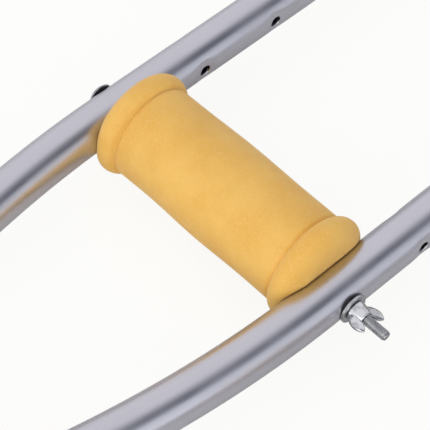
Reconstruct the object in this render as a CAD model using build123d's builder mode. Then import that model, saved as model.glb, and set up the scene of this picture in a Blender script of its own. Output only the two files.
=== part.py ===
from build123d import *
from math import asin, cos, radians, sin, sqrt
import os

os.makedirs("parts", exist_ok=True)

# A pair of aluminium underarm crutches lying side by side. Sizes are in millimetres.
# A crutch is drawn once, in its own frame, and placed twice. In that frame +X runs
# up the crutch to the armpit, Y runs across it, +Z is up, and the origin is on the
# grip bolt, midway between the two side tubes, with the grip at its lowest hole.

# Side tubes: straight beside the hand grip, then bent in to meet the leg
tube_diameter = 22.0
tube_wall = 1.2
tube_spacing = 140.0
tube_top = 390.0
bend_start = -6.8
bend_radius = 593.0
bend_angle = 15.0
return_radius = 300.0
foot_run = 134.0

# Hand grip and the row of holes that it is bolted through
grip_hole_pitch = 47.6
grip_hole_count = 7
grip_hole_diameter = 6.5
foam_diameter = 47.4
foam_crown = 0.5
foam_offset = 2.6
foam_lift = 1.0
crease_depth = 1.0
crease_place = 49.5
crease_slope = 0.2
barrel_slope = 1.5
collar_diameter = 54.4
collar_place = 56.0
grip_reach = 63.3
core_diameter = 30.0

# Grip bolt, washer and wing nut
bolt_diameter = 5.0
bolt_head_diameter = 13.0
bolt_head_height = 3.2
bolt_stick_out = 20.6
washer_diameter = 14.8
washer_thickness = 1.2
nut_hub_diameter = 9.6
nut_hub_top_diameter = 7.9
nut_hub_height = 7.0
nut_height = 12.2
nut_wing_span = 21.0
nut_wing_thickness = 2.0
nut_wing_root = 1.4
nut_belly_out = 8.4
nut_belly_height = 5.5
nut_notch_out = 5.3
nut_notch_height = 8.8
nut_roll = 17.0

# Underarm support, a ribbed moulding that both tubes plug into, and its foam cushion
support_length = 184.0
support_thickness = 30.0
support_floor = 14.0
support_dip = 11.0
support_wall = 3.0
socket_diameter = 29.0
socket_depth = 32.0
cushion_length = 208.0
cushion_thickness = 54.0
cushion_top = 36.0
cushion_dip = 15.0
cushion_skirt = 8.0
cushion_corner = 17.0
cushion_edge = 13.0
rivet_diameter = 4.0
rivet_head_diameter = 8.0
rivet_head_height = 1.6

# Leg: a fixed sleeve between the side tubes and a leg tube that slides in it
sleeve_diameter = 25.4
sleeve_wall = 1.4
leg_diameter = 22.0
leg_wall = 1.2
leg_hole_pitch = 25.4
leg_hole_count = 7
leg_hole_diameter = 6.5
leg_bolt_diameter = 6.0
leg_bolt_head_diameter = 12.0
leg_bolt_head_height = 3.6
leg_nut_flats = 10.0
leg_nut_height = 5.0
leg_nut_dome = 3.5
collar_length = 20.0
collar_wall = 2.3
collar_lip = 4.0
plug_depth = 12.0
plug_flange = 2.0
plug_dome = 3.0

# Snap buttons on a bent leaf spring
button_diameter = 6.2
button_stick_out = 2.6
button_foot_diameter = 8.0
button_foot_height = 1.0
spring_width = 7.0
spring_thickness = 0.8
spring_flat = 7.0
spring_length = 46.0
spring_apex_radius = 3.0

# Rubber tip
tip_base_diameter = 54.0
tip_neck_diameter = 30.0
tip_height = 52.0
tip_floor = 10.0
tip_base_rim = 7.0
tip_groove_depth = 1.2
tip_groove_width = 2.4
tip_groove_count = 3
tip_tread_depth = 1.6
tip_tread_width = 2.4
tip_washer_thickness = 1.5

# Clearances
touch_gap = 0.1
sliding_gap = 0.1
soft_gap = 0.3
drill_gap = 0.2

# How the two crutches lie
pair_spacing = 260.0

# Worked out from the sizes above
tube_radius = tube_diameter / 2
half_spacing = tube_spacing / 2
outer_face = half_spacing + tube_radius
inner_face = half_spacing - tube_radius
sleeve_radius = sleeve_diameter / 2
sleeve_bore = sleeve_radius - sleeve_wall
leg_radius = leg_diameter / 2
leg_bore = leg_radius - leg_wall
foot_offset = sleeve_radius + soft_gap + tube_radius
foot_outer_face = foot_offset + tube_radius

turn = radians(bend_angle)
arcs_step_in = (bend_radius + return_radius) * (1 - cos(turn))
slope_length = (half_spacing - foot_offset - arcs_step_in) / sin(turn)
foot_top = bend_start - (bend_radius + return_radius) * sin(turn) - slope_length * cos(turn)
foot_end = foot_top - foot_run
leg_bolt_places = [foot_top - 2 * leg_bolt_head_diameter, foot_end + 2 * leg_bolt_head_diameter]

sleeve_top = foot_top - plug_flange
glide_top = leg_bolt_places[1] - leg_bolt_diameter - plug_flange
leg_top = glide_top - plug_flange
button_place = leg_top - plug_depth - 3 * button_diameter
leg_row_end = button_place - (leg_hole_count - 1) * leg_hole_pitch
sleeve_end = leg_row_end - collar_length - leg_hole_diameter / 2
collar_end = sleeve_end - collar_lip
tip_top = collar_end - tip_floor
leg_end = tip_top - (tip_height - tip_floor - tip_washer_thickness)
tip_end = tip_top - tip_height

nut_seat = outer_face + 2 * touch_gap + washer_thickness
bolt_end = outer_face + bolt_stick_out
cushion_peak = tube_top + cushion_top + cushion_dip
floor_drop = max(tip_base_diameter, cushion_thickness) / 2


def plane_across(y):
    """A plane square to Y at that height, seen with X to the right and Z up."""
    return Plane(origin=(0, y, 0), x_dir=(1, 0, 0), z_dir=(0, -1, 0))


def plane_along(x):
    """A plane square to X at that place, with its normal up the crutch."""
    return Plane(origin=(x, 0, 0), x_dir=(0, 1, 0), z_dir=(1, 0, 0))


def dome_middle(base_radius, height):
    """Halfway round a round dome's arc: the distance from its axis, and the height."""
    ball_radius = (base_radius**2 + height**2) / (2 * height)
    half_angle = asin(base_radius / ball_radius) / 2
    return ball_radius * sin(half_angle), height - ball_radius * (1 - cos(half_angle))


def drill_across(diameter, places, reach):
    """Holes along Y, right through, at these places on X."""
    with BuildSketch(plane_across(0)) as holes:
        with Locations(*[(x, 0) for x in places]):
            Circle(diameter / 2)
    extrude(holes.sketch, amount=reach, both=True, mode=Mode.SUBTRACT)


def drill_upright(diameter, places, reach):
    """Holes along Z, right through, at these places on X and Y."""
    with BuildSketch(Plane.XY) as holes:
        with Locations(*places):
            Circle(diameter / 2)
    extrude(holes.sketch, amount=reach, both=True, mode=Mode.SUBTRACT)


def grip_holes():
    return [i * grip_hole_pitch for i in range(grip_hole_count)]


def leg_holes():
    return [button_place - i * leg_hole_pitch for i in range(leg_hole_count)]


def make_side_tube(side):
    """One long tube: side is +1 for the bolt's head end and -1 for its nut end."""
    with BuildPart() as side_tube:
        with BuildLine() as route:
            upper = Line((tube_top, side * half_spacing), (bend_start, side * half_spacing))
            inward = JernArc(upper @ 1, upper % 1, bend_radius, side * bend_angle)
            slope = PolarLine(inward @ 1, slope_length, direction=inward % 1)
            back = JernArc(slope @ 1, slope % 1, return_radius, -side * bend_angle)
            Line(back @ 1, (foot_end, side * foot_offset))
        with BuildSketch(Plane(origin=route.line @ 0, z_dir=route.line % 0)):
            Circle(tube_radius)
            Circle(tube_radius - tube_wall, mode=Mode.SUBTRACT)
        sweep(path=route.line)
        drill_across(grip_hole_diameter, grip_holes(), outer_face + tube_wall)
        drill_across(leg_bolt_diameter + 2 * drill_gap, leg_bolt_places, foot_outer_face + tube_wall)
        rivet_places = [(rivet_place, side * half_spacing)]
        drill_upright(rivet_diameter + 2 * touch_gap, rivet_places, tube_diameter)
    return side_tube


def domed_plug(radius, bore, y=0.0, up=1, place=0.0):
    """A moulded end plug: a skirt in the tube, a flange on its end and a low dome."""
    dome_out, dome_rise = dome_middle(radius, plug_dome)
    with BuildPart() as plug:
        with BuildSketch(Plane(origin=(place, y, 0), z_dir=(0, 0, 1))):
            with BuildLine():
                Polyline(
                    (-up * plug_depth, 0),
                    (-up * plug_depth, bore - sliding_gap),
                    (0, bore - sliding_gap),
                    (0, radius),
                    (up * plug_flange, radius),
                )
                ThreePointArc(
                    (up * plug_flange, radius),
                    (up * (plug_flange + dome_rise), dome_out),
                    (up * (plug_flange + plug_dome), 0),
                )
                Line((up * (plug_flange + plug_dome), 0), (-up * plug_depth, 0))
            make_face()
        revolve(axis=Axis((place, y, 0), (1, 0, 0)))
    return plug


# Rivet places follow the sockets of the underarm support
rivet_place = tube_top - socket_depth / 2

head_side_tube = make_side_tube(1)
nut_side_tube = make_side_tube(-1)

side_tube_plugs = Part() + [
    domed_plug(tube_radius, tube_radius - tube_wall, side * foot_offset, -1, foot_end).part
    for side in (1, -1)
]


# Underarm support: a dished beam over two sockets, hollow and ribbed on its underside
support_back = tube_top + support_floor
support_horn = support_back + support_dip

with BuildPart() as underarm_support:
    with BuildSketch(Plane.XY):
        with BuildLine():
            ThreePointArc(
                (support_horn, -support_length / 2),
                (support_back, 0),
                (support_horn, support_length / 2),
            )
            Line((support_horn, support_length / 2), (tube_top, support_length / 2))
            Line((tube_top, support_length / 2), (tube_top, -support_length / 2))
            Line((tube_top, -support_length / 2), (support_horn, -support_length / 2))
        make_face()
    extrude(amount=support_thickness / 2, both=True)
    end_corners = underarm_support.edges().filter_by(Axis.Z).group_by(Axis.X)[0]
    fillet(end_corners, radius=support_floor - support_wall)
    # The underside is hollowed in four pockets, which leaves a rim and three ribs
    pocket_length = (tube_spacing - socket_diameter) / 2 - 1.5 * support_wall
    pocket_centre = pocket_length / 2 + support_wall / 2
    for side in (1, -1):
        with BuildSketch(plane_along(tube_top)):
            with Locations((side * pocket_centre, 0)):
                RectangleRounded(
                    pocket_length, support_thickness - 2 * support_wall, 2 * support_wall
                )
        extrude(amount=support_floor - support_wall, mode=Mode.SUBTRACT)
    # Sockets that the side tubes push into as far as the beam
    with BuildSketch(plane_along(tube_top - socket_depth)):
        with Locations((half_spacing, 0), (-half_spacing, 0)):
            Circle(socket_diameter / 2)
    extrude(amount=socket_depth + support_wall)
    with BuildSketch(plane_along(tube_top - socket_depth)):
        with Locations((half_spacing, 0), (-half_spacing, 0)):
            Circle(tube_radius + sliding_gap)
    extrude(amount=socket_depth, mode=Mode.SUBTRACT)
    mouth_edges = underarm_support.faces().filter_by(Axis.X).group_by(Axis.X)[0].edges()
    chamfer(mouth_edges, length=(socket_diameter / 2 - tube_radius) / 5)
    # A web braces each socket to the beam
    for side in (1, -1):
        with BuildSketch(Plane.XY):
            with BuildLine():
                Polyline(
                    (tube_top, side * (inner_face - support_wall)),
                    (tube_top - socket_depth / 2, side * (inner_face - support_wall)),
                    (tube_top, side * (inner_face - socket_depth)),
                    (tube_top, side * (inner_face - support_wall)),
                )
            make_face()
        extrude(amount=support_wall / 2, both=True)
    drill_upright(
        rivet_diameter + 2 * touch_gap,
        [(rivet_place, half_spacing), (rivet_place, -half_spacing)],
        socket_diameter,
    )

# Foam cushion: a dished pad with a pocket that slips over the support
with BuildPart() as underarm_cushion:
    with BuildSketch(Plane.XY) as cushion_outline:
        with BuildLine():
            ThreePointArc(
                (cushion_peak, -cushion_length / 2),
                (tube_top + cushion_top, 0),
                (cushion_peak, cushion_length / 2),
            )
            Line((cushion_peak, cushion_length / 2), (tube_top + cushion_skirt, cushion_length / 2))
            Line(
                (tube_top + cushion_skirt, cushion_length / 2),
                (tube_top + cushion_skirt, -cushion_length / 2),
            )
            Line((tube_top + cushion_skirt, -cushion_length / 2), (cushion_peak, -cushion_length / 2))
        make_face()
        fillet(cushion_outline.vertices(), radius=cushion_corner)
    extrude(amount=cushion_thickness / 2, both=True)
    rim_edges = underarm_cushion.faces().filter_by(Axis.Z).edges()
    fillet(rim_edges, radius=cushion_edge)
    with BuildSketch(Plane.XY):
        with BuildLine():
            ThreePointArc(
                (support_horn + soft_gap, -support_length / 2 - soft_gap),
                (support_back + soft_gap, 0),
                (support_horn + soft_gap, support_length / 2 + soft_gap),
            )
            Polyline(
                (support_horn + soft_gap, support_length / 2 + soft_gap),
                (tube_top, support_length / 2 + soft_gap),
                (tube_top, -support_length / 2 - soft_gap),
                (support_horn + soft_gap, -support_length / 2 - soft_gap),
            )
        make_face()
    extrude(amount=support_thickness / 2 + soft_gap, both=True, mode=Mode.SUBTRACT)


def make_rivet(y):
    """A round rivet along Z through a socket and its tube, with a dome at each end."""
    head_seat = socket_diameter / 2 + touch_gap
    head_radius = rivet_head_diameter / 2
    dome_out, dome_rise = dome_middle(head_radius, rivet_head_height)
    with BuildPart() as rivet:
        with BuildSketch(Plane(origin=(rivet_place, y, 0), x_dir=(1, 0, 0), z_dir=(0, -1, 0))):
            with BuildLine():
                Polyline(
                    (0, -head_seat - rivet_head_height),
                    (0, head_seat + rivet_head_height),
                )
                ThreePointArc(
                    (0, head_seat + rivet_head_height),
                    (dome_out, head_seat + dome_rise),
                    (head_radius, head_seat),
                )
                Polyline(
                    (head_radius, head_seat),
                    (rivet_diameter / 2, head_seat),
                    (rivet_diameter / 2, -head_seat),
                    (head_radius, -head_seat),
                )
                ThreePointArc(
                    (head_radius, -head_seat),
                    (dome_out, -head_seat - dome_rise),
                    (0, -head_seat - rivet_head_height),
                )
            make_face()
        revolve(axis=Axis((rivet_place, y, 0), (0, 0, 1)))
    return rivet


underarm_rivets = Part() + [make_rivet(side * half_spacing).part for side in (1, -1)]


# Grip core: a moulded dowel with its ends hollowed to sit against the tubes
def hollow_for_tubes(gap):
    """Cut the two side tubes' channels out of what lies between them."""
    with BuildSketch(plane_along(-collar_diameter)) as channels:
        with Locations((half_spacing, 0), (-half_spacing, 0)):
            Circle(tube_radius + gap)
    extrude(channels.sketch, amount=2 * collar_diameter, mode=Mode.SUBTRACT)


with BuildPart() as grip_core:
    with BuildSketch(plane_across(0)):
        Circle(core_diameter / 2)
        Circle(bolt_diameter / 2 + drill_gap, mode=Mode.SUBTRACT)
    extrude(amount=grip_reach, both=True)
    hollow_for_tubes(soft_gap)

# Foam hand grip: a crowned barrel with a rolled collar at each end that laps the tube
foam_radius = foam_diameter / 2
collar_radius = collar_diameter / 2
collar_round = grip_reach - collar_place
foam_axis = Axis((foam_offset, 0, foam_lift), (0, 1, 0))

with BuildPart() as hand_grip:
    with BuildSketch(Plane(origin=(foam_offset, 0, foam_lift), x_dir=(1, 0, 0), z_dir=(0, 0, 1))):
        with BuildLine():
            Line((0, grip_reach), (0, -grip_reach))
            Line((0, -grip_reach), (collar_radius - collar_round, -grip_reach))
            Spline(
                (collar_radius - collar_round, -grip_reach),
                (collar_radius, -collar_place),
                (foam_radius - crease_depth, -crease_place),
                tangents=((1, 0), (-crease_slope, 1)),
            )
            Spline(
                (foam_radius - crease_depth, -crease_place),
                (foam_radius + foam_crown, 0),
                (foam_radius - crease_depth, crease_place),
                tangents=((barrel_slope, 1), (-barrel_slope, 1)),
            )
            Spline(
                (foam_radius - crease_depth, crease_place),
                (collar_radius, collar_place),
                (collar_radius - collar_round, grip_reach),
                tangents=((crease_slope, 1), (-1, 0)),
            )
            Line((collar_radius - collar_round, grip_reach), (0, grip_reach))
        make_face()
    revolve(axis=foam_axis)
    hollow_for_tubes(soft_gap)
    with BuildSketch(plane_across(0)):
        Circle(core_diameter / 2 + sliding_gap)
    extrude(amount=grip_reach, both=True, mode=Mode.SUBTRACT)

# Grip bolt: a mushroom head outside one tube and a threaded end beyond the other
head_seat = outer_face + touch_gap
head_top = head_seat + bolt_head_height
head_rim = bolt_head_height / 6
head_out, head_rise = dome_middle(bolt_head_diameter / 2, bolt_head_height - head_rim)

with BuildPart() as grip_bolt:
    with BuildSketch(Plane.XY):
        with BuildLine():
            Polyline(
                (0, head_top),
                (0, -bolt_end),
                (bolt_diameter / 2 - drill_gap, -bolt_end),
                (bolt_diameter / 2, -bolt_end + 2 * drill_gap),
                (bolt_diameter / 2, head_seat),
                (bolt_head_diameter / 2, head_seat),
                (bolt_head_diameter / 2, head_seat + head_rim),
            )
            ThreePointArc(
                (bolt_head_diameter / 2, head_seat + head_rim),
                (head_out, head_seat + head_rim + head_rise),
                (0, head_top),
            )
        make_face()
    revolve(axis=Axis.Y)

with BuildPart() as grip_washer:
    with BuildSketch(plane_across(-outer_face - touch_gap)):
        Circle(washer_diameter / 2)
        Circle(bolt_diameter / 2 + drill_gap, mode=Mode.SUBTRACT)
    extrude(amount=washer_thickness)
    chamfer(grip_washer.edges().group_by(Axis.Y)[0], length=washer_thickness / 5)


def make_wing_nut():
    """A cast wing nut on the bolt: a tapered hub and two wings that sweep outwards."""
    roll = radians(nut_roll)
    hub_radius = nut_hub_diameter / 2
    wing_top = nut_hub_height + nut_wing_thickness
    half_span = nut_wing_span / 2
    wing_plane = Plane(
        origin=(0, -nut_seat, 0),
        x_dir=(cos(roll), 0, -sin(roll)),
        z_dir=(-sin(roll), 0, -cos(roll)),
    )
    with BuildPart() as nut:
        with BuildSketch(wing_plane):
            with BuildLine():
                Polyline(
                    (0, 0),
                    (hub_radius, 0),
                    (hub_radius, nut_hub_height / 4),
                    (nut_hub_top_diameter / 2, nut_hub_height),
                    (0, nut_hub_height),
                    (0, 0),
                )
            make_face()
        revolve(axis=Axis((0, -nut_seat, 0), (0, 1, 0)))
        with BuildSketch(wing_plane) as wing_sketch:
            with BuildLine():
                root_low = (hub_radius / 2, nut_wing_root)
                root_high = (hub_radius / 2, nut_hub_height - nut_wing_root / 2)
                tip_low = (half_span, wing_top)
                tip_high = (half_span - 2 * nut_wing_thickness, nut_height)
                tip_round = nut_wing_thickness / 3
                ThreePointArc(root_low, (nut_belly_out, nut_belly_height), tip_low)
                ThreePointArc(tip_low, (half_span - tip_round, nut_height - tip_round), tip_high)
                ThreePointArc(tip_high, (nut_notch_out, nut_notch_height), root_high)
                Line(root_high, root_low)
            make_face()
            mirror(about=Plane.YZ)
        extrude(amount=nut_wing_thickness / 2, both=True)
        with BuildSketch(plane_across(-nut_seat)):
            Circle(bolt_diameter / 2 + sliding_gap / 2)
        extrude(amount=nut_height, mode=Mode.SUBTRACT)
    return nut


wing_nut = make_wing_nut()


# Leg sleeve, bolted between the feet of the side tubes, with a hole row top and bottom
with BuildPart() as leg_sleeve:
    with BuildSketch(plane_along(sleeve_end)):
        Circle(sleeve_radius)
        Circle(sleeve_bore, mode=Mode.SUBTRACT)
    extrude(amount=sleeve_top - sleeve_end)
    drill_upright(leg_hole_diameter, [(x, 0) for x in leg_holes()], sleeve_diameter)
    drill_across(leg_bolt_diameter + 2 * drill_gap, leg_bolt_places, sleeve_diameter)

sleeve_cap = domed_plug(sleeve_radius, sleeve_bore, 0.0, 1, sleeve_top)

# Leg collar: a moulded ring round the sleeve's end whose lip guides the leg tube
with BuildPart() as leg_collar:
    with BuildSketch(Plane.XY):
        with BuildLine():
            ring_radius = sleeve_radius + sliding_gap + collar_wall
            Polyline(
                (collar_end, leg_radius + sliding_gap),
                (collar_end, ring_radius - collar_wall / 2),
                (collar_end + collar_wall / 2, ring_radius),
                (collar_end + collar_length - collar_wall, ring_radius),
                (collar_end + collar_length, ring_radius - collar_wall / 2),
                (collar_end + collar_length, sleeve_radius + sliding_gap),
                (sleeve_end - touch_gap, sleeve_radius + sliding_gap),
                (sleeve_end - touch_gap, leg_radius + sliding_gap),
                close=True,
            )
        make_face()
    revolve(axis=Axis.X)


def make_leg_bolt(x):
    """A round-headed bolt across both feet and the sleeve, its head on the +Y side."""
    seat = foot_outer_face + touch_gap
    head_radius = leg_bolt_head_diameter / 2
    dome_out, dome_rise = dome_middle(head_radius, leg_bolt_head_height)
    with BuildPart() as bolt:
        with BuildSketch(Plane(origin=(x, 0, 0), z_dir=(0, 0, 1))):
            with BuildLine():
                Polyline(
                    (0, seat + leg_bolt_head_height),
                    (0, -seat - leg_nut_height),
                    (leg_bolt_diameter / 2, -seat - leg_nut_height),
                    (leg_bolt_diameter / 2, seat),
                    (head_radius, seat),
                )
                ThreePointArc(
                    (head_radius, seat),
                    (dome_out, seat + dome_rise),
                    (0, seat + leg_bolt_head_height),
                )
            make_face()
        revolve(axis=Axis((x, 0, 0), (0, 1, 0)))
    return bolt


def make_leg_nut(x):
    """A domed hexagon nut on the far end of a leg bolt."""
    dome_radius = leg_nut_flats / 2
    nut_face = foot_outer_face + touch_gap
    bolt_room = leg_nut_height + touch_gap
    dome_out, dome_rise = dome_middle(dome_radius, leg_nut_dome)
    with BuildPart() as nut:
        with BuildSketch(Plane(origin=(x, -nut_face, 0), x_dir=(1, 0, 0), z_dir=(0, -1, 0))):
            RegularPolygon(dome_radius, 6, major_radius=False)
        extrude(amount=leg_nut_height)
        with BuildSketch(Plane(origin=(x, -nut_face, 0), z_dir=(0, 0, 1))):
            with BuildLine():
                Polyline((0, 0), (dome_radius, 0), (dome_radius, -leg_nut_height))
                ThreePointArc(
                    (dome_radius, -leg_nut_height),
                    (dome_out, -leg_nut_height - dome_rise),
                    (0, -leg_nut_height - leg_nut_dome),
                )
                Line((0, -leg_nut_height - leg_nut_dome), (0, 0))
            make_face()
        revolve(axis=Axis((x, 0, 0), (0, 1, 0)))
        with BuildSketch(Plane(origin=(x, -nut_face, 0), x_dir=(1, 0, 0), z_dir=(0, -1, 0))):
            Circle(leg_bolt_diameter / 2 + sliding_gap / 2)
        extrude(amount=bolt_room, mode=Mode.SUBTRACT)
    return nut


leg_bolts = Part() + [make_leg_bolt(x).part for x in leg_bolt_places]
leg_nuts = Part() + [make_leg_nut(x).part for x in leg_bolt_places]

# Leg tube, its moulded glide, and the hole for the snap buttons
with BuildPart() as leg_tube:
    with BuildSketch(plane_along(leg_end)):
        Circle(leg_radius)
        Circle(leg_bore, mode=Mode.SUBTRACT)
    extrude(amount=leg_top - leg_end)
    drill_upright(leg_hole_diameter, [(button_place, 0)], leg_diameter)

with BuildPart() as leg_glide:
    with BuildSketch(plane_along(leg_top)):
        Circle(sleeve_bore - sliding_gap)
    extrude(amount=plug_flange)
    chamfer(leg_glide.edges().group_by(Axis.X)[-1], length=plug_flange / 4)
    with BuildSketch(plane_along(leg_top)):
        Circle(leg_bore - sliding_gap)
    extrude(amount=-plug_depth)
    with BuildSketch(plane_along(leg_top - plug_depth)):
        Circle(leg_bore - sliding_gap - 2 * leg_wall)
    extrude(amount=plug_depth, mode=Mode.SUBTRACT)

# The button's foot sits under the leg tube's wall, where the bore is this high
foot_half = button_foot_diameter / 2
foot_crest = sqrt(leg_bore**2 - foot_half**2) - soft_gap
button_crown = sleeve_radius + button_stick_out


def make_button(side):
    """A snap button: side is +1 for the upper one and -1 for the lower one."""
    button_radius = button_diameter / 2
    dome_height = button_radius / 2
    dome_out, dome_rise = dome_middle(button_radius, dome_height)
    with BuildPart() as button:
        with BuildSketch(Plane(origin=(button_place, 0, 0), x_dir=(1, 0, 0), z_dir=(0, -1, 0))):
            with BuildLine():
                Polyline(
                    (0, side * (foot_crest - button_foot_height)),
                    (foot_half, side * (foot_crest - button_foot_height)),
                    (foot_half, side * foot_crest),
                    (button_radius, side * foot_crest),
                    (button_radius, side * (button_crown - dome_height)),
                )
                ThreePointArc(
                    (button_radius, side * (button_crown - dome_height)),
                    (dome_out, side * (button_crown - dome_height + dome_rise)),
                    (0, side * button_crown),
                )
                Line((0, side * button_crown), (0, side * (foot_crest - button_foot_height)))
            make_face()
        revolve(axis=Axis((button_place, 0, 0), (0, 0, 1)))
    return button


upper_button = make_button(1)
lower_button = make_button(-1)

# Leaf spring: a bent strip whose two arms press the buttons out
arm_level = foot_crest - button_foot_height - spring_thickness / 2
apex_place = button_place - spring_length

with BuildPart() as button_spring:
    with BuildSketch(plane_across(0)):
        with BuildLine() as strip:
            top_flat = Line(
                (button_place + spring_flat, arm_level), (button_place - spring_flat, arm_level)
            )
            top_arm = Line(top_flat @ 1, (apex_place, spring_apex_radius))
            apex = ThreePointArc(
                (apex_place, spring_apex_radius),
                (apex_place - spring_apex_radius, 0),
                (apex_place, -spring_apex_radius),
            )
            low_arm = Line(apex @ 1, (button_place - spring_flat, -arm_level))
            Line(low_arm @ 1, (button_place + spring_flat, -arm_level))
        trace(line_width=spring_thickness)
    extrude(amount=spring_width / 2, both=True)


# Rubber tip: a grooved neck that flares to a broad treaded foot, over a steel washer
def ring_grooves():
    """Grooves round the neck, evenly spaced down from its top."""
    first = tip_top - 2 * tip_groove_width
    return [first - i * 2 * tip_groove_width for i in range(tip_groove_count)]


with BuildPart() as rubber_tip:
    neck_radius = tip_neck_diameter / 2
    base_radius = tip_base_diameter / 2
    neck_end = ring_grooves()[-1] - tip_groove_width
    with BuildSketch(Plane.XY):
        with BuildLine():
            Polyline(
                (tip_top, 0),
                (tip_top, neck_radius),
                (neck_end, neck_radius),
            )
            Spline(
                (neck_end, neck_radius),
                (tip_end + tip_base_rim, base_radius),
                tangents=((-1, 0), (-0.5, 1)),
            )
            Polyline(
                (tip_end + tip_base_rim, base_radius),
                (tip_end + tip_tread_depth, base_radius),
                (tip_end, base_radius - tip_tread_depth),
                (tip_end, 0),
                (tip_top, 0),
            )
        make_face()
    revolve(axis=Axis.X)
    with BuildSketch(plane_along(leg_end - tip_washer_thickness)):
        Circle(leg_radius + sliding_gap)
    extrude(amount=tip_height, mode=Mode.SUBTRACT)
    for groove in ring_grooves():
        with BuildSketch(Plane.XY):
            with Locations((groove, neck_radius)):
                Rectangle(tip_groove_width, 2 * tip_groove_depth)
        revolve(axis=Axis.X, mode=Mode.SUBTRACT)
    tread_step = 2.5 * tip_tread_width
    tread_count = int((base_radius - 2 * tip_tread_width) // tread_step)
    for ring in range(1, tread_count + 1):
        with BuildSketch(Plane.XY):
            with Locations((tip_end, ring * tread_step)):
                Rectangle(2 * tip_tread_depth, tip_tread_width)
        revolve(axis=Axis.X, mode=Mode.SUBTRACT)

with BuildPart() as tip_washer:
    with BuildSketch(plane_along(leg_end - tip_washer_thickness)):
        Circle(leg_radius - touch_gap)
        Circle(leg_radius / 3, mode=Mode.SUBTRACT)
    extrude(amount=tip_washer_thickness)


pieces = {
    "head_side_tube": head_side_tube.part,
    "nut_side_tube": nut_side_tube.part,
    "side_tube_plugs": side_tube_plugs,
    "underarm_support": underarm_support.part,
    "underarm_cushion": underarm_cushion.part,
    "underarm_rivets": underarm_rivets,
    "grip_core": grip_core.part,
    "hand_grip": hand_grip.part,
    "grip_bolt": grip_bolt.part,
    "grip_washer": grip_washer.part,
    "wing_nut": wing_nut.part,
    "leg_sleeve": leg_sleeve.part,
    "sleeve_cap": sleeve_cap.part,
    "leg_collar": leg_collar.part,
    "leg_bolts": leg_bolts,
    "leg_nuts": leg_nuts,
    "leg_tube": leg_tube.part,
    "leg_glide": leg_glide.part,
    "upper_button": upper_button.part,
    "lower_button": lower_button.part,
    "button_spring": button_spring.part,
    "rubber_tip": rubber_tip.part,
    "tip_washer": tip_washer.part,
}

# The pair lies on the floor, centred on the origin, with the armpit ends at +X
armpit_end = underarm_cushion.part.bounding_box().max.X
along = -(armpit_end + tip_end) / 2
places = {
    "left": Location((along, pair_spacing / 2, floor_drop)),
    "right": Location((along, -pair_spacing / 2, floor_drop)),
}

for crutch, place in places.items():
    for name, piece in pieces.items():
        placed = piece.moved(place)
        placed.label = f"{crutch}_{name}"
        export_step(placed, f"parts/{crutch}_{name}.step")

print("length", armpit_end - tip_end, "shift along X", along, "height of tube centres", floor_drop)
print("leg bolts", leg_bolt_places, "button", button_place, "foot", foot_top, foot_end)
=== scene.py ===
import math
import bpy
import numpy as np
from mathutils import Matrix, Vector


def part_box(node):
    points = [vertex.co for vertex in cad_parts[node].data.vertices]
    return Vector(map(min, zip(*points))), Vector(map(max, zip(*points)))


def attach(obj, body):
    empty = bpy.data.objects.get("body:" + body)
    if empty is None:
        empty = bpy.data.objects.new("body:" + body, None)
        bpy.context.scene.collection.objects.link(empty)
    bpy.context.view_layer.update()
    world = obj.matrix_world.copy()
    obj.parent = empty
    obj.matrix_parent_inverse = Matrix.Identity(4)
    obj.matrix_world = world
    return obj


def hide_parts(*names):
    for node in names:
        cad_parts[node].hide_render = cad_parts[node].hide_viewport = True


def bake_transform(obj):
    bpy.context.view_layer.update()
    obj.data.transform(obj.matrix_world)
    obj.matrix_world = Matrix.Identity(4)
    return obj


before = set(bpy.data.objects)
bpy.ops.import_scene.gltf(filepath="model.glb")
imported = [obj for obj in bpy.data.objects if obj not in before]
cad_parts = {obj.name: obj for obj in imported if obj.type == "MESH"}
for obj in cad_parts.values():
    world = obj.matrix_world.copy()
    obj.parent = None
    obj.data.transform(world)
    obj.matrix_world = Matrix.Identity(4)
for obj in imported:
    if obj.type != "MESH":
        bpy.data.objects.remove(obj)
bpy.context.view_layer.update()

# A pair of aluminium underarm crutches with foam grips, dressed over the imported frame.
# Every piece is worked out in its crutch's own axes, in millimetres: x runs up the
# crutch from the grip bolt, y across to the tube with the bolt's head, z up.

mm = 0.001
crutchSides = ["left", "right"]


def gripSpot(side):
    # The crutch's own origin: on the grip bolt, midway between the two side tubes
    low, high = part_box(side + "_grip_bolt")
    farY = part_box(side + "_head_side_tube")[1].y
    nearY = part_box(side + "_nut_side_tube")[0].y
    return np.array([(low.x + high.x) / 2, (farY + nearY) / 2, (low.z + high.z) / 2]) / mm


spots = {side: gripSpot(side) for side in crutchSides}


def nodeSpan(node, axis):
    # A node's lowest and highest place on one axis, in its crutch's own millimetres
    low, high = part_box("left_" + node)
    return low[axis] / mm - spots["left"][axis], high[axis] / mm - spots["left"][axis]


print("frame loaded, grips at", {side: [round(v, 1) for v in spot] for side, spot in spots.items()})


# Meshes from whole arrays

def gridFaces(rows, columns, closeRows, closeColumns):
    # Quads between neighbouring rows and columns; a closed direction joins its last to its first
    r = np.arange(rows if closeRows else rows - 1)[:, None]
    c = np.arange(columns if closeColumns else columns - 1)[None, :]
    r2, c2 = (r + 1) % rows, (c + 1) % columns
    corners = [r * columns + c, r2 * columns + c, r2 * columns + c2, r * columns + c2]
    return np.stack([np.broadcast_to(k, (r.size, c.size)) for k in corners], axis=-1).reshape(-1, 4)


def fullTurn(count):
    # Even steps of angle once round
    return np.arange(count) * 2 * math.pi / count


def superCurve(angle, power):
    # A point on a rounded square: cosine and sine drawn out to the power given
    c, s = np.cos(angle), np.sin(angle)
    return np.sign(c) * np.abs(c) ** (2 / power), np.sign(s) * np.abs(s) ** (2 / power)


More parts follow.
